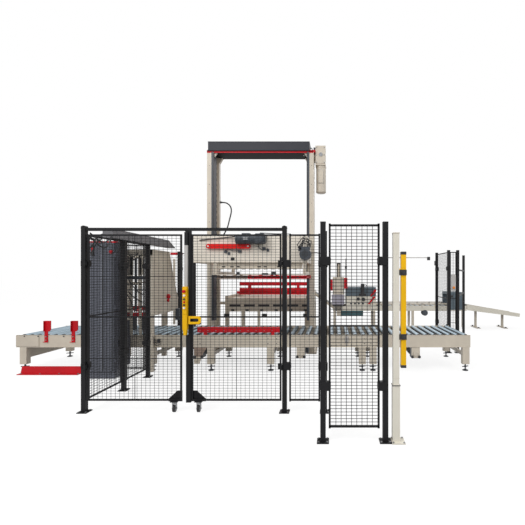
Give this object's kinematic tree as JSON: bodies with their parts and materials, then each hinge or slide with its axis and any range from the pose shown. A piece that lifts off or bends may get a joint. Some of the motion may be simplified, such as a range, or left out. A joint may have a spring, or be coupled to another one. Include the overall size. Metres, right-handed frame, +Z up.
{
  "type": "bag palletizer",
  "caption": "Automatic bag palletizer: roller pallet conveyor through a two-column lift portal with a stacking head, pallet magazine, bag infeed line and mesh safety fence with a double gate.",
  "frame": {"origin": "centre of the footprint on the floor", "axes": "+X along the pallet line from the pallet magazine to the discharge end, +Y from the front gates to the bag line at the back, +Z up"},
  "size_m": [11.3, 8.413, 4.51],
  "materials": {
    "cream_paint": "powder coat, semi-gloss",
    "graphite_paint": "powder coat, semi-gloss",
    "red_paint": "powder coat, gloss",
    "black_fence": "fine-textured powder coat",
    "yellow_paint": "powder coat, gloss",
    "zinc": "bright zinc plate",
    "cabinet_grey": "textured powder coat",
    "motor_grey": "cast housing, painted",
    "steel": "brushed",
    "hose_black": "matte",
    "wheel_rubber": "matte",
    "belt_grey": "matte"
  },
  "bodies": {
    "plant": {"loading_frame": "cream_paint", "stacking_frame": "cream_paint", "discharge_frame": "cream_paint", "loading_rollers": "zinc", "stacking_rollers": "zinc", "discharge_rollers": "zinc", "conveyor_legs": "cream_paint", "levelling_feet": "steel", "conveyor_drives": "motor_grey", "fork_guard": "red_paint", "pallet_stops": "red_paint", "pallet_guide": "red_paint", "magazine_frame": "cream_paint", "cabinet_body": "cabinet_grey", "cable_trunking": "graphite_paint", "left_column": "cream_paint", "right_column": "cream_paint", "guide_rails": "graphite_paint", "header_base": "red_paint", "header": "graphite_paint", "lift_motor": "cream_paint", "lift_hose": "hose_black", "fence_posts": "black_fence", "rear_posts": "black_fence", "side_panel_front": "black_fence", "side_panel_rear": "black_fence", "cross_panel": "black_fence", "narrow_panel": "black_fence", "return_panel": "black_fence", "near_panel": "black_fence", "rear_panel": "black_fence", "right_panel": "black_fence", "overhead_rail": "black_fence", "light_post": "cream_paint", "light_curtain": "yellow_paint", "line_frame": "cream_paint", "line_rollers": "zinc", "infeed_frame": "cream_paint", "infeed_belt": "belt_grey", "press_frame": "cream_paint", "press_cover": "motor_grey", "turner_stand": "cream_paint", "row_table": "cream_paint", "gate_lock": "yellow_paint"},
    "head": {"head_panel": "cream_paint", "head_frame": "cream_paint", "head_drives": "motor_grey", "chain_guard": "red_paint"},
    "door_left": {"layer_door_left": "steel"},
    "door_right": {"layer_door_right": "red_paint"},
    "gate_left": {"left_gate": "black_fence"},
    "gate_right": {"right_gate": "black_fence"},
    "caster_left": {"left_caster": "steel"},
    "caster_right": {"right_caster": "steel"},
    "wheel_left": {"left_wheel": "wheel_rubber"},
    "wheel_right": {"right_wheel": "wheel_rubber"},
    "turner": {"turner_head": "cream_paint"},
    "pusher": {"row_pusher": "red_paint"},
    "forks": {"magazine_forks": "red_paint"},
    "cabinet_leaf": {"cabinet_door": "cabinet_grey"}
  },
  "joints": [
    {"name": "head_lift", "type": "slide", "parent": "plant", "child": "head", "axis": [0, 0, 1], "range_m": [-0.75, 1.5], "deforming": ["lift_hose"]},
    {"name": "layer_door_right_slide", "type": "slide", "parent": "head", "child": "door_right", "axis": [1, 0, 0], "range_m": [0, 0.56]},
    {"name": "layer_door_left_slide", "type": "slide", "parent": "head", "child": "door_left", "axis": [-1, 0, 0], "range_m": [0, 0.56]},
    {"name": "left_gate_swing", "type": "hinge", "parent": "plant", "child": "gate_left", "pos_m": [-3.137, -3.394, 1.15], "axis": [0, 0, -1], "range_deg": [0, 95]},
    {"name": "right_gate_swing", "type": "hinge", "parent": "plant", "child": "gate_right", "pos_m": [-0.763, -3.394, 1.15], "axis": [0, 0, 1], "range_deg": [0, 95]},
    {"name": "left_caster_swivel", "type": "hinge", "parent": "gate_left", "child": "caster_left", "pos_m": [-2.071, -3.352, 0.1], "axis": [0, 0, 1], "continuous": true},
    {"name": "right_caster_swivel", "type": "hinge", "parent": "gate_right", "child": "caster_right", "pos_m": [-1.775, -3.352, 0.1], "axis": [0, 0, 1], "continuous": true},
    {"name": "left_wheel_spin", "type": "hinge", "parent": "caster_left", "child": "wheel_left", "pos_m": [-2.071, -3.352, 0.044], "axis": [1, 0, 0], "continuous": true},
    {"name": "right_wheel_spin", "type": "hinge", "parent": "caster_right", "child": "wheel_right", "pos_m": [-1.775, -3.352, 0.044], "axis": [1, 0, 0], "continuous": true},
    {"name": "turner_spin", "type": "hinge", "parent": "plant", "child": "turner", "pos_m": [0.04, 3.83, 1.4], "axis": [0, 0, 1], "range_deg": [-90, 90]},
    {"name": "row_pusher_slide", "type": "slide", "parent": "plant", "child": "pusher", "axis": [0, -1, 0], "range_m": [0, 0.9]},
    {"name": "magazine_lift", "type": "slide", "parent": "plant", "child": "forks", "axis": [0, 0, 1], "range_m": [0, 0.4]},
    {"name": "cabinet_door_swing", "type": "hinge", "parent": "plant", "child": "cabinet_leaf", "pos_m": [-3.63, -1.941, 1.15], "axis": [0, 0, 1], "range_deg": [0, 110]}
  ],
  "couplings": [
    {"joint": "layer_door_left_slide", "follows": "layer_door_right_slide", "ratio": 1}
  ]
}
